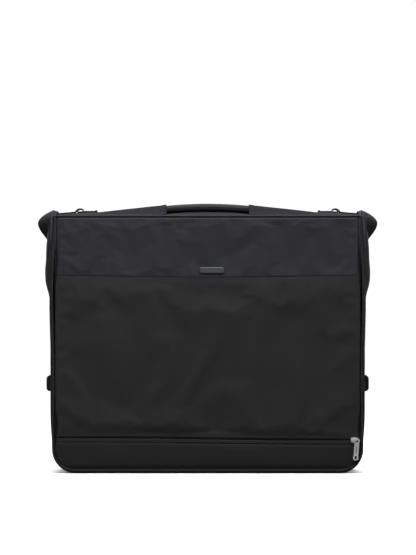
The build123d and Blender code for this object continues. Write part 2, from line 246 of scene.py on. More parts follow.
def finish_piece(obj, body, material, replaced=(), thickness=0.0, levels=0, blend=None, bevel=0.0):
    """Gives a new piece its material and attaches it to its body, or bakes it in place when it has a span."""
    obj.data.materials.append(material)
    for polygon in obj.data.polygons:
        polygon.use_smooth = True
    if thickness:
        solid = obj.modifiers.new("thickness", "SOLIDIFY")
        solid.thickness = thickness
        solid.offset = -1.0
    if bevel:
        round_edges(obj, bevel, 30)
    if levels:
        smooth = obj.modifiers.new("smooth", "SUBSURF")
        smooth.levels = levels
        smooth.render_levels = levels
    if replaced:
        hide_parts(*replaced)
    if blend:
        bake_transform(obj)
    else:
        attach(obj, body)
    return obj


def mesh_object(name, points, faces, uvs=None):
    """A new object in the scene, with one UV for each point if they are given."""
    mesh = bpy.data.meshes.new(name)
    mesh.from_pydata([tuple(p) for p in points], [], faces)
    if uvs:
        layer = mesh.uv_layers.new(name="cloth")
        for loop in mesh.loops:
            layer.data[loop.index].uv = uvs[loop.vertex_index]
    mesh.validate()
    obj = bpy.data.objects.new(name, mesh)
    bpy.context.scene.collection.objects.link(obj)
    return obj


def grid(name, rows, keep=None, flip=False):
    """A cloth grid from rows of points. Its UVs are metres along the cloth, so the weave keeps its size.
    keep says which of its faces are made, and flip turns it over."""
    count, width = len(rows), len(rows[0])
    points = [Vector(p) for row in rows for p in row]
    uvs, faces = [], []
    for i, row in enumerate(rows):
        along = 0.0
        for j, point in enumerate(row):
            if j:
                along += (Vector(point) - Vector(row[j - 1])).length
            up = 0.0
            if i:
                up = uvs[(i - 1) * width + j][1] + (Vector(point) - Vector(rows[i - 1][j])).length
            uvs.append((along, up))
    for i in range(count - 1):
        for j in range(width - 1):
            face = [i * width + j, i * width + j + 1, (i + 1) * width + j + 1, (i + 1) * width + j]
            if keep is None or keep(i, j):
                faces.append(face[::-1] if flip else face)
    return mesh_object(name, points, faces, uvs)


def spread(low, high, count, fine=0.0, steps=0):
    """Evenly spaced values, with extra ones within fine of both ends."""
    values = [low + (high - low) * i / (count - 1) for i in range(count)]
    for k in range(1, steps):
        values += [low + fine * k / steps, high - fine * k / steps]
    return sorted(set(round(v, 6) for v in values))


def tube(name, path, radius, sides=10):
    """A cord through points. radius may depend on the place along it."""
    rows = []
    for i, point in enumerate(path):
        before, after = path[max(0, i - 1)], path[min(len(path) - 1, i + 1)]
        tangent = (Vector(after) - Vector(before)).normalized()
        side = tangent.cross(Vector((0, 1, 0)))
        if side.length < 0.1:
            side = tangent.cross(Vector((1, 0, 0)))
        side.normalize()
        other = side.cross(tangent)
        r = radius(i / (len(path) - 1)) if callable(radius) else radius
        rows.append([Vector(point) + side * r * math.cos(a) + other * r * math.sin(a)
                     for a in (2 * math.pi * k / sides for k in range(sides + 1))])
    return grid(name, rows)


def stitches(name, path, body):
    """A row of sewn stitches along a path: a short flattened capsule for each one."""
    points, faces = [], []
    travelled, next_at = 0.0, STITCH_PITCH / 2
    for a, b in zip(path, path[1:]):
        a, b = Vector(a), Vector(b)
        span = (b - a).length
        while next_at <= travelled + span and span > 0:
            middle = a.lerp(b, (next_at - travelled) / span)
            along = (b - a).normalized()
            side = along.cross(Vector((0, 1, 0)))
            side = side.normalized() if side.length > 0.2 else along.cross(Vector((0, 0, 1))).normalized()
            up = along.cross(side)
            first = len(points)
            for reach, size in ((-0.5, 0.35), (-0.3, 1.0), (0.3, 1.0), (0.5, 0.35)):
                for k in range(6):
                    angle = math.pi * k / 3
                    points.append(middle + along * reach * STITCH_L
                                  + (side * math.cos(angle) + up * math.sin(angle)) * STITCH_R * size)
            for ring in range(3):
                for k in range(6):
                    m = (k + 1) % 6
                    faces.append([first + ring * 6 + k, first + ring * 6 + m,
                                  first + ring * 6 + 6 + m, first + ring * 6 + 6 + k])
            faces.append([first + k for k in range(5, -1, -1)])
            faces.append([first + 18 + k for k in range(6)])
            next_at += STITCH_PITCH
        travelled += span
    obj = mesh_object(name, points, faces)
    return finish_piece(obj, body, THREAD)


def smoothstep(low, high, value):
    """0 up to low, 1 from high on, and a smooth rise between them."""
    t = min(1.0, max(0.0, (value - low) / (high - low)))
    return t * t * (3 - 2 * t)


def hump(value, middle, reach):
    """1 at the middle, falling smoothly to 0 at reach from it."""
    t = min(1.0, abs(value - middle) / reach)
    return (1 - t * t) ** 2


def ripple(x, z, seed, size):
    """Smooth unevenness between -1 and 1, with waves of about the given size."""
    return noise.noise(Vector((x / size, z / size, seed)))


def edge_x(z):
    """Half width of the outer covers, which draw in a little at the top, by the yoke and above the zip."""
    bow = HALF_W - GAP - 0.0020 + 0.0030 * smoothstep(TOP, 0.33, z) - 0.0042 * hump(z, 0.084, 0.040)
    bow -= 0.0030 * hump(z, 0.380, 0.060)
    corner = CORNER - GAP
    if z < CORNER:
        bow += math.sqrt(max(0.0, corner ** 2 - (CORNER - z) ** 2)) - corner
    return bow


def settle(obj, pinned, pressure, cap, growth=0.0):
    """Lets a sewn panel swell and wrinkle as cloth, held along its seams, and keeps the result."""
    mesh = obj.data
    obj.vertex_groups.new(name="sewn").add(pinned, 1.0, "REPLACE")
    start = [v.co.copy() for v in mesh.vertices]
    cloth_mod = obj.modifiers.new("settling", "CLOTH")
    settings = cloth_mod.settings
    settings.vertex_group_mass = "sewn"
    settings.quality = 6
    settings.mass = 0.25
    settings.tension_stiffness = settings.compression_stiffness = 25.0
    settings.shear_stiffness = 12.0
    settings.bending_stiffness = 1.2
    settings.air_damping = 6.0
    settings.shrink_min = -growth
    settings.use_pressure = True
    settings.uniform_pressure_force = pressure
    settings.effector_weights.gravity = 0.0
    cloth_mod.collision_settings.use_collision = False
    scene = bpy.context.scene
    for number in range(1, SETTLE_FRAMES + 1):
        scene.frame_set(number)
    after = [v.co.copy() for v in obj.evaluated_get(bpy.context.evaluated_depsgraph_get()).data.vertices]
    obj.modifiers.remove(cloth_mod)
    obj.vertex_groups.clear()
    scene.frame_set(1)
    for vertex, old, new in zip(mesh.vertices, start, after):
        move = new - old
        vertex.co = old + move * min(1.0, cap / max(move.length, 1e-9))


# ---- outer covers ----
COVERS = []
BASE_LOW = 0.0118  # lower edge of the front base, above its piping
SIDE_ROLL = 0.0024  # radius of a cover's turned side edge
SEWN_ROWS = 7  # outer rows and columns of a cover's grid that its seams hold
HEM = 0.0042  # from an edge to the middle of its topstitched ridge
BADGE_X, BADGE_Z, BADGE_HALF_L = 0.0075, 0.3694, 0.022


def sag(x, amount, middle=0.0):
    """How far a sewn line hangs at x, most at its middle and nothing at the sides."""
    return -amount * math.cos(min(1.0, abs(x - middle) / 0.29) * math.pi / 2)


def seam_z(x):
    return SEAM_Z + sag(x, SEAM_SAG)


def zip_z(x):
    """Height of the front pocket's zip, which dips towards the right."""
    return ZIP_Z - 0.0013 - 0.0030 * x + sag(x, 0.0025, 0.20)


def rolled(distance, radius):
    """How far a turned-under edge has dropped at a distance from its end."""
    fall = 1 - min(1.0, distance / radius)
    return radius * (1 - math.sqrt(max(0.0, 1 - fall * fall)))


def round_badge(x, z):
    """0 under the badge plate, rising to 1 away from it, so that the cloth lies flat there."""
    reach = math.hypot(max(0.0, abs(x - BADGE_X) - BADGE_HALF_L), z - BADGE_Z)
    return smoothstep(0.0, 0.080, reach)


def cover(name, side, low, high, puff, seed, material=NYLON, replaced=(),
          roll_low=0.0024, roll_high=0.0024, hems=(), hem_height=0.0005, turned=("low", "high"), lean=0.0,
          settled=True):
    """One padded panel of an outer cover. low and high give its edges' heights at each x.
    hems are edges, low or high, with a raised line of topstitching beside them, turned are the edges that
    turn inwards, and lean is how far the lower edge stands back. A panel that isn't settled lies flat on its
    backing."""
    skirt = 0.0070  # depth of the cloth that turns inwards
    us = spread(-1.0, 1.0, 121, 0.016, 6)
    vs = spread(0.0, 1.0, 49, 0.05, 6)
    rows = []
    for v in vs:
        row = []
        for u in us:
            x0 = u * 0.279
            z = low(x0) + v * (high(x0) - low(x0))
            x = u * edge_x(z)
            to_side = (1 - abs(u)) * edge_x(z)
            to_low, to_high = max(0.0, z - low(x0)), max(0.0, high(x0) - z)
            to_edge = min(to_side, to_low, to_high)
            drop = max(rolled(to_side, SIDE_ROLL), rolled(to_low, roll_low), rolled(to_high, roll_high))
            hem = sum(hump({"low": to_low, "high": to_high}[edge], HEM, 0.0022) for edge in hems)
            swell = puff * (1 - abs(u) ** 6) * (1 - abs(2 * v - 1) ** 5)
            wave = 0.0010 * ripple(x, z, seed, 0.16) + 0.0005 * ripple(x * 2, z, seed + 5, 0.06)
            pucker = 0.0009 * (1 - min(1.0, to_side / 0.030)) * ripple(x * 0.5, z, seed + 9, 0.012)
            near_seam = 1 - min(1.0, min(to_low, to_high) / 0.020)
            pucker += 0.0004 * near_seam * ripple(x, z * 0.5, seed + 3, 0.014)
            flat = round_badge(x, z) if side < 0 else 1.0
            out = OUTER + hem_height * hem - drop - lean * (1 - v) ** 1.5
            out += (swell + (wave + pucker) * min(1.0, to_edge / 0.012)) * flat
            row.append((x, side * out, z))
        rows.append(row)
    inward = [[(x, y - side * skirt, z) for x, y, z in rows[i]] for i in (0, -1)]
    rows = [inward[0]] * ("low" in turned) + rows + [inward[1]] * ("high" in turned)
    rows = [[(r[0][0], r[0][1] - side * skirt, r[0][2])] + r + [(r[-1][0], r[-1][1] - side * skirt, r[-1][2])]
            for r in rows]
    obj = grid(name, rows, flip=side > 0)
    width = len(rows[0])
    sewn = [i * width + j for i in range(len(rows)) for j in range(width)
            if min(i, j, len(rows) - 1 - i, width - 1 - j) < SEWN_ROWS]
    if settled:
        settle(obj, sewn, 0.6 * side, 0.0040, 0.002)
    finish_piece(obj, half_name(side) + "_half", material, replaced, levels=1)
    COVERS.append(obj)


def front_covers():
    def zip_high(x):
        return zip_z(x) + ZIP_HALF

    def zip_low(x):
        return zip_z(x) - ZIP_HALF

    cover("front_yoke_cloth", -1, seam_z, lambda x: COVER_TOP, 0.0010, 1.0, material=YOKE,
          replaced=["front_yoke_panel"], roll_low=0.0001, roll_high=0.0034)
    cover("front_pocket_cloth", -1, zip_high, seam_z, 0.0030, 2.0, replaced=["front_pocket_panel"],
          roll_low=0.0010, roll_high=0.0001, hems=["low"], hem_height=0.0003, turned=["low"])
    cover("front_base_cloth", -1, lambda x: BASE_LOW, zip_low, 0.0005, 3.0, replaced=["front_base_panel"],
          roll_high=0.0002, hems=["high"], hem_height=0.0001, lean=0.0030, settled=False)
    stitch_line("front_yoke_stitches", -1, lambda x: seam_z(x) + HEM)
    stitch_line("front_zip_upper_stitches", -1, lambda x: zip_high(x) + HEM)
    stitch_line("front_zip_lower_stitches", -1, lambda x: zip_low(x) - HEM)


def rear_covers():
    def zip_high(x):
        return REAR_ZIP_Z + ZIP_HALF + 0.0006

    def zip_low(x):
        return REAR_ZIP_Z - ZIP_HALF - 0.0006

    cover("rear_yoke_cloth", 1, zip_high, lambda x: COVER_TOP, 0.0016, 4.0, replaced=["rear_yoke_panel"],
          roll_low=0.0014, hems=["low"])
    cover("rear_body_cloth", 1, lambda x: GAP, zip_low, 0.0036, 5.0, replaced=["rear_body_panel"],
          roll_high=0.0014, hems=["high"])
    stitch_line("rear_zip_upper_stitches", 1, lambda x: zip_high(x) + HEM)
    stitch_line("rear_zip_lower_stitches", 1, lambda x: zip_low(x) - HEM)


def surface_y(side, x, z):
    """Depth of the outermost cover cloth at a place in the front view."""
    found, deepest = None, 0.0
    for obj in COVERS:
        hit, where, _, _ = obj.ray_cast((x, side * 0.2, z), (0, -side, 0))
        if hit and side * where.y > deepest:
            found, deepest = where.y, side * where.y
    return found


def stitch_line(name, side, height):
    """Topstitching that lies on the cloth of a cover."""
    path = []
    for i in range(241):
        x = -STITCH_HALF_L + 2 * STITCH_HALF_L * i / 240
        y = surface_y(side, x, height(x))
        if y is not None:
            path.append((x, y, height(x)))
    stitches(name, path, half_name(side) + "_half")


# ---- the U of piping, gusset and binding ----
def u_path(inset, top, width=lambda z: HALF_W, steps=40, corner_steps=14):
    """Points down the left side, round the bottom and up the right side, with their outward normals."""
    radius = CORNER - inset
    right = []
    for i in range(corner_steps + 1):
        a = -math.pi / 2 + math.pi / 2 * i / corner_steps
        z = CORNER + radius * math.sin(a)
        x = width(z) - CORNER + radius * math.cos(a)
        right.append(((x, z), (math.cos(a), math.sin(a))))
    for i in range(1, steps + 1):
        z = CORNER + (top - CORNER) * i / steps
        right.append(((width(z) - inset, z), (1.0, 0.0)))
    left = [((-x, z), (-nx, nz)) for (x, z), (nx, nz) in right]
    reach = right[0][0][0]
    floor = [((reach * (2 * i / 20 - 1), inset), (0.0, -1.0)) for i in range(1, 20)]
    return left[::-1] + floor + right


def pushed_out(z, share):
    """How far the folded gusset stands out past the side, by height and by share of its depth."""
    across = math.sin(math.pi * min(1.0, share * 1.05)) ** 0.7
    spindle = 0.0118 * smoothstep(0.298, 0.352, z) * (1 - 0.22 * smoothstep(0.37, 0.43, z))
    spindle *= 1 - 0.35 * smoothstep(0.435, 0.465, z)
    low_part = 0.0026 * smoothstep(0.03, 0.09, z) * (1 - smoothstep(0.30, 0.33, z))
    return (low_part + spindle) * across + 0.0016 * smoothstep(0.05, 0.12, z)


def gusset(side):
    """Side cloth of a half, crumpled and pushed out where the fold crowds it."""
    name = half_name(side)
    path = u_path(0.0, TOP - 0.001, steps=80)
    shares = [0.0, 0.03, 0.07, 0.12, 0.18, 0.24, 0.30, 0.36, 0.43, 0.5, 0.58, 0.66, 0.74, 0.82, 0.89, 0.95,
              1.0]
    rows = []
    for (x, z), (nx, nz) in path:
        row = []
        for share in shares:
            y = side * (0.0625 - share * (0.0625 - INNER - 0.0012))
            crumple = 0.0016 * ripple(y * 2, z, 7.0 + side, 0.035) * smoothstep(0.26, 0.34, z)
            crumple += 0.0007 * ripple(y * 3, z, 9.0 + side, 0.05) * smoothstep(0.05, 0.12, z)
            ridge = 0.0022 * (hump(share, 0.17, 0.09) - 1.3 * hump(share, 0.30, 0.10)) * hump(z, 0.375, 0.085)
            out = (pushed_out(z, share) + ridge + crumple * math.sin(math.pi * share)) * abs(nx)
            row.append((x + nx * out, y, max(0.0, z + nz * out)))
        rows.append(row)
    obj = grid(name + "_gusset_cloth", rows, flip=side > 0)
    finish_piece(obj, name + "_half", GUSSET, [name + "_gusset"], thickness=0.0016, levels=1)


def piping(side):
    """The three bound cords of a half, and the turned-in cloth between the cover's cord and the gusset. That
    cloth is near-black: painted shade in the gap beside the cover's edge.
    """
    name = half_name(side)
    body = name + "_half"

    def seam_width(z):
        return HALF_W - 0.0001 - 0.0038 * smoothstep(0.38, 0.475, z) + 0.0024 * hump(z, 0.315, 0.11)

    path = [(x, side * 0.0648, z + 0.0032 * max(0.0, -nz))
            for (x, z), (nx, nz) in u_path(0.0021, TOP + 0.0005, seam_width)]
    obj = tube(name + "_outer_piping", path, 0.0019)
    finish_piece(obj, body, PIPING, [name + "_edge_piping"])

    def gusset_width(z):
        bow = 0.0024 * smoothstep(0.05, 0.12, z) - 0.0030 * smoothstep(0.34, TOP, z)
        return HALF_W + 0.0004 + bow + 0.0022 * hump(z, 0.315, 0.11)

    path = [(x, side * 0.0602, z) for (x, z), normal in u_path(0.0014, TOP, gusset_width)]
    obj = tube(name + "_gusset_piping", path, 0.0014, 8)
    finish_piece(obj, body, PIPING)
    path = [(x, side * (INNER + 0.0012), z) for (x, z), normal in u_path(0.0020, 0.438)]
    obj = tube(name + "_inner_piping", path, 0.0017, 8)
    finish_piece(obj, body, PIPING, [name + "_inner_binding"])
    allowance = ((0.0010, 0.0600), (0.0045, 0.0590), (0.0100, 0.0590), (0.0170, 0.0600))
    rows = []
    for (x, z), (nx, nz) in u_path(0.0, TOP, seam_width):
        rows.append([(x - nx * inset, side * depth, z - nz * inset) for inset, depth in allowance])
    obj = grid(name + "_seam_allowance", rows, flip=side > 0)
    # near-black: painted shade for the gap between a cover's edge and its cord
    finish_piece(obj, body, SHADE, thickness=0.0006)


def inner_face(side):
    """Padded lining panel, slit up its middle for the main zip."""
    name = half_name(side)
    top, slit_half = 0.437, 0.0062
    reach, radius = 0.2795, 0.0405  # half width of the panel, and radius of its lower corners
    xs = sorted(set([-slit_half, slit_half] + spread(-reach, -slit_half, 30) + spread(slit_half, reach, 30)))
    zs = sorted(set(spread(0.0045, MAIN_ZIP[0], 14) + spread(*MAIN_ZIP, 30) + [top]))
    rows = []
    for z in zs:
        row = []
        for x in xs:
            limit = reach
            if z < CORNER:
                limit += math.sqrt(max(0.0, radius ** 2 - (CORNER - z) ** 2)) - radius
            at = x if abs(x) <= slit_half else x * limit / reach
            quilt = 0.0007 * ripple(at, z, 20.0 + side, 0.08)
            row.append((at, side * (INNER + 0.0004 + quilt), z))
        rows.append(row)

    def solid(i, j):
        middle = abs((xs[j] + xs[j + 1]) / 2) < slit_half
        return not (middle and MAIN_ZIP[0] <= (zs[i] + zs[i + 1]) / 2 <= MAIN_ZIP[1])

    obj = grid(name + "_lining", rows, keep=solid, flip=side < 0)
    finish_piece(obj, name + "_half", LINING, [name + "_inner_panel"], thickness=0.0022)
    for x in (-0.0095, 0.0095):
        path = [(x, side * (INNER - 0.0001), z) for z in MAIN_ZIP]
        stitches(f"{name}_lining_stitches_{side_name(x)}", path, name + "_half")


# ---- zips ----
def zip_band(side, height):
    """Woven zip tape that follows a pocket's opening, with its coil along the middle."""
    name, body = half_name(side) + "_pocket", half_name(side) + "_half"
    xs = [-ZIP_HALF_L + 2 * ZIP_HALF_L * i / 120 for i in range(121)]
    # across the tapes: share of the opening's half width, and how far back from the cover
    profile = [(-1.25, 0.0050), (-0.98, 0.0036), (-0.82, 0.0015), (-0.5, 0.0010), (-0.10, 0.0010),
               (-0.05, 0.0016), (0.05, 0.0016), (0.10, 0.0010), (0.5, 0.0010), (0.82, 0.0015),
               (0.98, 0.0036), (1.25, 0.0050)]
    rows = [[(x, side * (OUTER - back), height(x) + share * ZIP_HALF) for share, back in profile] for x in xs]
    obj = grid(name + "_tape_cloth", rows, flip=side < 0)
    finish_piece(obj, body, ZIP_TAPE, [name + "_zip_tape"], levels=1)
    pitch = 0.0016
    rows = []
    for i in range(int(2 * ZIP_HALF_L / pitch) * 4):
        x = -ZIP_HALF_L + i * pitch / 4
        swell = 0.00115 + 0.00025 * math.sin(i * math.pi / 2)
        rows.append([(x, side * (OUTER - 0.0016 + 0.0006 * math.cos(a)), height(x) + swell * math.sin(a))
                     for a in (math.pi * (k / 6 - 0.5) for k in range(7))])
    obj = grid(name + "_coil", rows, flip=side < 0)
    finish_piece(obj, body, COIL, [name + "_zip_chain"])


def hanging_pull():
    """The front pull as it hangs, leaning a little from its slider, with near-black marks painted as the
    shade in its eyes and its groove.
    """
    pivot = Vector((PULL_X, 0.0, ZIP_Z))
    lean = Matrix.Rotation(PULL_LEAN, 4, "Y") @ Matrix.Scale(PULL_DRAWN_IN, 4, (0, 0, 1))
    lean = Matrix.Translation(pivot) @ lean @ Matrix.Translation(-pivot)
    mesh = nodes["front_pocket_pull"].data.copy()
    mesh.transform(lean)
    mesh.materials.clear()
    obj = bpy.data.objects.new("front_pocket_pull_hanging", mesh)
    bpy.context.scene.collection.objects.link(obj)
    finish_piece(obj, "front_pocket_pull_body", SILVER, ["front_pocket_pull"],
                 bevel=EDGE_RADIUS)
    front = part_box("front_pocket_pull")[0].y
    for name, drop, half_l, radius in PULL_SHADE_MARKS:
        points = []
        for k in range(24):
            a = 2 * math.pi * (k + 0.5) / 24
            z = ZIP_Z - drop + math.copysign(half_l, math.sin(a)) + radius * math.sin(a)
            points.append(lean @ Vector((PULL_X + radius * math.cos(a), front + 0.0003, z)))
        shade = mesh_object(f"front_pocket_pull_{name}", points, [list(range(24))])
        # near-black disc or strip: painted shade in an eye or the groove of the pull
        finish_piece(shade, "front_pocket_pull_body", SHADE, thickness=0.0003)


# ---- spine, ears and handle ----
def crown(y, x):
    """Height of the spine's cloth. It lies against the arched grip, and falls a little towards the ends."""
    dip = (CROWN_Z - GRIP_LOW - 0.0002 - grip_arch(x)) * smoothstep(0.097, 0.077, abs(x))
    rise = CROWN - dip - 0.0038 * smoothstep(0.222, 0.275, abs(x))
    return CROWN_Z - CROWN + rise * (1 - (abs(y) / 0.0635) ** 2)


def grip_arch(x):
    """Rise of the grip's underside above its ends."""
    return 0.0038 * max(0.0, 1 - (x / GRIP_HALF_L) ** 2)


def spine():
    """Spine cloth with its stitching, and the cloth that joins it to the halves at the folds and corners."""
    xs = spread(-SPINE_HALF_L, SPINE_HALF_L, 121, 0.01, 4)
    edge, roll = 0.0657, 0.0010
    ys = spread(-edge, edge, 45, 0.006, 5)
    rows = []
    for x in xs:
        row = []
        for y in ys:
            loose = min(1.0, (edge - abs(y)) / 0.02, max(0.0, abs(x) / 0.08 - 1))
            lift = 0.0006 * ripple(x, y, 31.0, 0.07) * loose
            row.append((x, y, crown(y, x) + lift - rolled(edge - abs(y), roll)))
        hem = [(x, s * (edge - 0.004), row[0][2] - 0.0006) for s in (-1, 1)]
        rows.append([hem[0]] + row + [hem[1]])
    obj = grid("spine_cloth", rows, flip=True)
    finish_piece(obj, "spine", SPINE, ["spine_panel", "spine_end_panels"], levels=1)
    for side in (-1, 1):
        name = half_name(side)
        path = [(x, side * 0.0615, crown(0.0615, x) + 0.0002) for x in spread(-0.272, 0.272, 61)]
        stitches(f"spine_{name}_stitches", path, "spine")
        fold_strip(name, side)
        for end in (-1, 1):
            corner_fold(name, side, end)
            end_gusset(name, side, end)
            for number, line in enumerate(CORNER_RIDGES):
                corner_ridge(name, side, end, number, line)


def fold_span(name, side, low, high):
    if side < 0:
        return name + "_half", "spine", low, high
    return "spine", name + "_half", high, low


def end_gusset(name, side, end):
    """Gusset cloth at one end of a fold, pleated flat under the spine."""
    rows = []
    for number, z in enumerate([0.4560, 0.4595] + spread(0.4625, 0.4690, 23)):
        x = 0.2795 - 0.0024 * (number % 2)
        rows.append([(end * x, side * y, z) for y in spread(0.0085, 0.0612, 13)])
    obj = grid(f"{name}_{side_name(end)}_end_gusset", rows, flip=side * end > 0)
    span = fold_span(name, side, (0, side * 0.0617, 0.4632), (0, side * 0.0617, 0.4684))
    finish_piece(obj, "spine", FAN, thickness=0.0008, blend=span)


def fold_strip(name, side):
    """Cloth that joins a cover's top edge to the spine."""
    profile = [(0.0585, 0.4570), (0.0605, 0.4615), (0.0615, 0.4645), (0.0617, 0.4655), (0.0612, 0.4662),
               (0.0600, 0.4666), (0.0575, 0.4670)]
    rows = [[(x, side * y, z) for y, z in profile] for x in spread(-0.2785, 0.2785, 41)]
    obj = grid(name + "_fold_cloth_painted_shade", rows, flip=side > 0)
    span = fold_span(name, side, (0, side * 0.0617, 0.4630), (0, side * 0.0605, 0.4670))
    # near-black: painted shade for the dark line under the spine's edge
    finish_piece(obj, "spine", SHADE, thickness=0.0006, blend=span)


CORNER_SPAN = (0.455, 0.474)  # heights of the span given to the corner cloth, which only has it baked in place
RIDGE_RADIUS = 0.0021
# two soft ridges of gathered cloth at a corner, from below up on to the spine: width, depth and height
CORNER_RIDGES = (
    ((0.2784, 0.0632, 0.418), (0.2776, 0.0636, 0.432), (0.2770, 0.0638, 0.445), (0.2768, 0.0636, 0.456),
     (0.2770, 0.0626, 0.466), (0.2775, 0.0600, 0.473), (0.2782, 0.0560, 0.4775)),
    ((0.2852, 0.0622, 0.424), (0.2844, 0.0626, 0.436), (0.2838, 0.0626, 0.447), (0.2834, 0.0624, 0.458),
     (0.2830, 0.0612, 0.468), (0.2820, 0.0585, 0.4745), (0.2806, 0.0550, 0.4785)),
)


def corner_fold(name, side, end):
    """Gusset cloth gathered into upright folds below one corner of the spine."""
    ridges = ((0.2770, 0.0024, 0.0024), (0.2836, 0.0030, 0.0036))
    xs = spread(0.2742, 0.2896, 33)
    rows = []
    for z in spread(0.392, 0.4785, 25):
        rise = smoothstep(0.392, 0.42, z)
        row = []
        for x in xs:
            spread_out = 1 + 0.10 * smoothstep(0.47, 0.40, z)
            bend = sum(height * hump(x, middle, reach) for middle, height, reach in ridges)
            across = (x - 0.2742) / 0.0154
            depth = 0.0615 + bend * rise - 0.0035 * across ** 3 - 0.006 * smoothstep(0.4665, 0.4785, z)
            low = 0.0012 * (1 - rise)
            top_cut = 0.0130 * abs(across - 0.33) ** 1.3 * smoothstep(0.455, 0.4785, z)
            row.append((end * (0.2742 + (x - 0.2742) * spread_out), side * (depth - low), z - top_cut))
        rows.append(row)
    obj = grid(f"{name}_{side_name(end)}_corner_fold", rows, flip=side * end > 0)
    span = fold_span(name, side, *((0, side * 0.062, z) for z in CORNER_SPAN))
    finish_piece(obj, "spine", FOLDED, thickness=0.0008, levels=1, blend=span)


def corner_ridge(name, side, end, number, line):
    """Soft edge of a fold that runs up to a top corner, in light cloth whose colour is a painted sheen."""
    path = [(end * x, side * y, z) for x, y, z in line]
    obj = tube(f"{name}_{side_name(end)}_corner_ridge_{number}", path,
               lambda share: RIDGE_RADIUS * (0.45 + 0.55 * hump(share, 0.62, 0.75)))
    span = fold_span(name, side, *((0, side * 0.062, z) for z in CORNER_SPAN))
    finish_piece(obj, "spine", RIDGE_PAINTED_SHEEN, levels=1, blend=span)


def ear(side):
    """Coarse pleat of the gusset, pushed out past the side by the fold."""
    name = side_name(side)
    # (x, z) of the outer ridge and of the front edge from top to bottom, and how deep the pleat is there
    ridge = [(0.2740, 0.4780), (0.2826, 0.4806), (0.2892, 0.4783), (0.2956, 0.4748), (0.3042, 0.4695),
             (0.3112, 0.4622), (0.3127, 0.4576), (0.3127, 0.4533), (0.3104, 0.4467), (0.3070, 0.4411),
             (0.3028, 0.4354), (0.2986, 0.4302), (0.2945, 0.4248), (0.2915, 0.4205)]
    front = [(0.2745, 0.4725), (0.2790, 0.4722), (0.2830, 0.4705), (0.2860, 0.4680), (0.2880, 0.4640),
             (0.2888, 0.4590), (0.2892, 0.4550), (0.2894, 0.4510), (0.2896, 0.4460), (0.2898, 0.4410),
             (0.2898, 0.4360), (0.2896, 0.4310), (0.2890, 0.4255), (0.2880, 0.4200)]
    depth = [0.0500, 0.0505, 0.0515, 0.0525, 0.0535, 0.0540, 0.0540, 0.0530, 0.0512, 0.0490, 0.0464, 0.0432,
             0.0394, 0.0350]
    shares = [i / 10 for i in range(11)]
    rows = []
    for (rx, rz), (fx, fz), d in zip(ridge, front, depth):
        half = []
        for s in shares:
            eased = s + 0.13 * math.sin(math.pi * s)
            wrinkle = 0.0010 * math.sin(math.pi * s) * ripple(rx * 2, s, 40.0 + side, 0.02)
            half.append((fx + (rx - fx) * eased + wrinkle, d * (1 - s), fz + (rz - fz) * eased + wrinkle))
        rows.append([(side * x, -y, z) for x, y, z in half] + [(side * x, y, z) for x, y, z in half[-2::-1]])
    obj = grid(name + "_ear_cloth", rows, flip=side > 0)
    finish_piece(obj, "spine", EAR, [name + "_fold_ear"], thickness=0.0012, levels=1)
    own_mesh(obj)


def wing_section(x):
    """Top height, half width of the flat top and half width at the spine of a handle wing."""
    run = (x - 0.075) / 0.1255
    return 0.4894 - 0.0138 * run ** 1.1, 0.0165 + 0.018 * run, 0.050 - 0.006 * run


def wing_z(x, y):
    top, top_half, base_half = wing_section(x)
    ease = smoothstep(0.0, 1.0, (abs(y) - top_half) / (base_half - top_half))
    return top + (crown(y, x) + 0.0004 - top) * ease


def wing(side):
    """Fabric wing that runs up from the spine to a sewn cuff at one end of the grip."""
    name = side_name(side)
    xs = [0.0752, 0.0756, 0.0762, 0.0778, 0.0800, 0.0822, 0.0832, 0.0838, 0.0850, 0.088, 0.093, 0.100, 0.108,
          0.118, 0.130, 0.142, 0.154, 0.166, 0.178, 0.188, 0.195, 0.199, 0.2005]
    rows = []
    for x in xs:
        base_half = wing_section(x)[2]
        cuff = 0.0007 if x < CUFF_END else 0.0
        row = []
        for k in range(25):
            t = -1 + 2 * k / 24
            y = base_half * t
            z = wing_z(x, y) + cuff + 0.0006 * ripple(x, y, 50.0 + side, 0.03) * (1 - abs(t))
            row.append((side * x, y * (1 + cuff * 8), z - (0.0035 if x == xs[0] else 0.0)))
        rows.append(row)
    obj = grid(name + "_wing_cloth", rows, flip=side > 0)
    span = ("spine", "handle", (side * 0.199, 0, 0.475), (side * 0.086, 0, 0.475))
    finish_piece(obj, "spine", SPINE, [name + "_handle_wing"], thickness=0.0011, levels=1,
                 blend=span)
    for number, x in enumerate((0.0768, 0.0818)):
        path = [(side * x, y, wing_z(x, y) + 0.0010) for y in spread(-0.046, 0.046, 25)]
        stitches(f"{name}_cuff_stitches_{number}", path, "handle")


def grip():
    """Moulded grip: a rounded bar that arches between its ends."""
    rows = []
    half_h, half_d = 0.0077, 0.0150
    for i in range(49):
        x = -GRIP_HALF_L + 2 * GRIP_HALF_L * i / 48
        middle = GRIP_LOW + half_h + grip_arch(x)
        row = []
        for k in range(33):
            a = 2 * math.pi * k / 32
            c, s = math.cos(a), math.sin(a)
            y = half_d * math.copysign(abs(c) ** 0.62, c)
            z = half_h * math.copysign(abs(s) ** 0.72, s)
            row.append((x, y, middle + z))
        rows.append(row)
    obj = grid("grip_moulding", rows, flip=True)
    finish_piece(obj, "handle", GRIP, ["handle_grip"], levels=1)


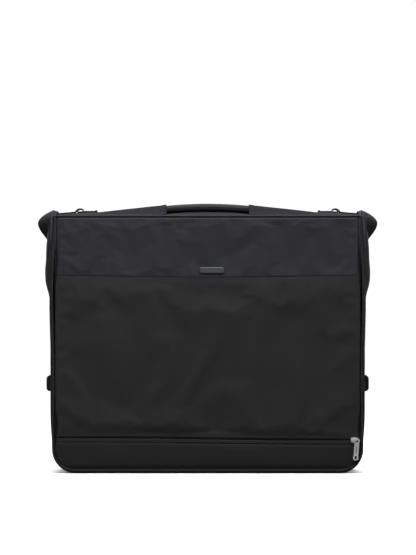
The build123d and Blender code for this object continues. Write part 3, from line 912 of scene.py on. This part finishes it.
def ring_webbing(side):
    """Black webbing from the ear to the ring, looped round its bar, and the doubled tab that holds it."""
    name = side_name(side)
    top = 0.0025
    loop = [(RING_X + 0.0028 * math.cos(a), CROWN_Z + 0.0022 + 0.0028 * math.sin(a))
            for a in (math.radians(d) for d in range(-60, 241, 30))]
    line = [(x, CROWN_Z + top) for x in spread(RING_X + 0.0020, 0.2720, 12)[::-1]] + loop
    line += [(x, CROWN_Z + top * 0.8) for x in spread(0.2290, RING_X - 0.0026, 6)[::-1]]
    webbing_strip(name + "_ring_webbing", side, line, 0.0115, STRAP)
    line = [(x, CROWN_Z + top) for x in spread(0.2075, 0.2300, 9)[::-1]]
    line += [(0.2068, CROWN_Z + 0.0022), (0.2060, CROWN_Z + 0.0036), (0.2048, CROWN_Z + 0.0041),
             (0.2034, CROWN_Z + 0.0036), (0.2026, CROWN_Z + 0.0018), (0.2024, CROWN_Z + 0.0004)]
    webbing_strip(name + "_ring_tab", side, line, 0.0118, SPINE)
    for x in (0.2112, 0.2262):
        path = [(side * x, y, crown(y, x) + 0.0019) for y in (-0.0105, 0.0105)]
        stitches(f"{name}_tab_stitches_{round(x * 10000)}", path, "spine")


def webbing_strip(name, side, line, half, material):
    """Webbing along a line of (x, z), lying across the crown."""
    ys = spread(-half, half, 9)
    rows = [[(side * x, y, z + crown(y, x) - CROWN_Z) for y in ys] for x, z in line]
    obj = grid(name, rows, flip=side < 0)
    replaced = ["ring_tabs"] if name == "right_ring_webbing" else []
    finish_piece(obj, "spine", material, replaced, thickness=0.0026)


# ---- CAD nodes that keep their shape ----
def dress_cad():
    """Gives every hard CAD node its material, and the moulded and metal ones a small bevel."""
    dress = {
        "front_backing": FOAM, "rear_backing": FOAM, "front_stiffener": BOARD, "rear_stiffener": BOARD,
        "spine_stiffener": BOARD, "crease_bar": BOARD, "handle_core": STEEL, "garment_strap": WEBBING,
        "front_side_webbing": WEBBING, "rear_side_webbing": WEBBING,
        "front_main_zip_tape": TAPE_HIDDEN, "rear_main_zip_tape": TAPE_HIDDEN,
        "front_main_zip_chain": COIL, "rear_main_zip_chain": COIL,
        "buckle_sockets": PLASTIC, "buckle_plugs": PLASTIC, "badge_plate": GUNMETAL,
        "left_strap_ring": PLASTIC, "right_strap_ring": PLASTIC,
        "hanger_bracket": STEEL, "hanging_hook": STEEL, "hook_plate": STEEL,
    }
    for half in ("front", "rear"):
        for place in ("pocket", "main"):
            dress[f"{half}_{place}_slider"] = SILVER
            dress[f"{half}_{place}_pull"] = SILVER
    for side in ("left", "right"):
        for level in ("upper", "lower"):
            dress[f"{side}_{level}_prong"] = PLASTIC
    for name, material in dress.items():
        node = nodes[name]
        node.data.materials.clear()
        node.data.materials.append(material)
    for name in [n for n in dress if dress[n] in (SILVER, PLASTIC, GUNMETAL)]:
        round_edges(nodes[name], EDGE_RADIUS, 40)


# ---- stage ----
def area_light(name, place, aim, size, power):
    """A soft white light that shines from a place towards a point."""
    data = bpy.data.lights.new(name, "AREA")
    data.shape = "RECTANGLE"
    data.size, data.size_y = size
    data.energy = power
    light = bpy.data.objects.new(name, data)
    light.location = place
    light.rotation_mode = "QUATERNION"
    light.rotation_quaternion = (Vector(aim) - Vector(place)).to_track_quat("-Z", "Y")
    light.visible_camera = False
    bpy.context.scene.collection.objects.link(light)


def studio():
    """Pale floor with a painted contact shadow where the bag touches it, white background and four soft
    lights.
    """
    floor = mesh_object("floor", [(-30, -30, 0), (30, -30, 0), (30, 30, 0), (-30, 30, 0)], [[0, 1, 2, 3]])
    mat, nn, ll, bsdf = new_material("floor_white")
    bsdf.inputs["Base Color"].default_value = (0.92, 0.92, 0.92, 1)
    bsdf.inputs["Roughness"].default_value = 0.9
    bsdf.inputs["Specular IOR Level"].default_value = 0.0
    bsdf.inputs["Emission Strength"].default_value = 0.90
    # painted contact shadow: ambient occlusion darkens the floor's glow near the bag
    painted_contact_shadow = add_node(nn, "ShaderNodeAmbientOcclusion", samples=16)
    painted_contact_shadow.inputs["Distance"].default_value = 0.05
    glow_with_painted_shadow = mixed(nn, ll, painted_contact_shadow.outputs["AO"], (0.0, 0.0, 0.0), (1.0, 1.0, 1.0))
    ll.new(glow_with_painted_shadow, bsdf.inputs["Emission Color"])
    floor.data.materials.append(mat)
    floor.visible_diffuse = False
    floor.visible_glossy = False
    world = bpy.data.worlds.new("studio")
    bpy.context.scene.world = world
    world.use_nodes = True
    wn, wl = world.node_tree.nodes, world.node_tree.links
    seen = wn["Background"]
    seen.inputs["Color"].default_value = (1, 1, 1, 1)
    seen.inputs["Strength"].default_value = 1.05
    ambient = wn.new("ShaderNodeBackground")
    ambient.inputs["Color"].default_value = (0.95, 0.97, 1.0, 1)
    ambient.inputs["Strength"].default_value = 0.11
    pick = wn.new("ShaderNodeMixShader")
    wl.new(wn.new("ShaderNodeLightPath").outputs["Is Camera Ray"], pick.inputs["Fac"])
    wl.new(ambient.outputs[0], pick.inputs[1])
    wl.new(seen.outputs[0], pick.inputs[2])
    wl.new(pick.outputs[0], wn["World Output"].inputs["Surface"])
    area_light("front_softbox", (0.05, -0.68, 1.60), (0, 0, 0.36), (1.5, 0.6), 32.0)
    area_light("low_softbox", (-1.0, -1.2, 0.30), (-0.2, 0, 0.05), (0.5, 0.3), 1.8)
    area_light("right_softbox", (1.9, -1.0, 0.9), (0, 0, 0.3), (0.7, 1.0), 3.0)
    area_light("rear_softbox", (0.0, 1.6, 1.6), (0, 0, 0.3), (1.8, 0.9), 16.0)
    bpy.context.scene.view_settings.view_transform = "Standard"


def camera():
    """Long lens level with the bag, at the distance where the picture is VIEW_H high at the front cover."""
    data = bpy.data.cameras.new("camera")
    data.lens = LENS
    data.sensor_width = SENSOR
    data.clip_end = 200.0
    obj = bpy.data.objects.new("camera", data)
    distance = VIEW_H * LENS / SENSOR
    obj.location = (VIEW_X, -OUTER - distance, VIEW_Z)
    obj.rotation_euler = (math.pi / 2, 0, 0)
    bpy.context.scene.collection.objects.link(obj)
    bpy.context.scene.camera = obj


front_covers()
rear_covers()
for half in (-1, 1):
    gusset(half)
    piping(half)
    inner_face(half)
    ear(half)
    wing(half)
    ring_webbing(half)
zip_band(-1, zip_z)
zip_band(1, lambda x: REAR_ZIP_Z)
hanging_pull()
spine()
grip()
dress_cad()
studio()
camera()
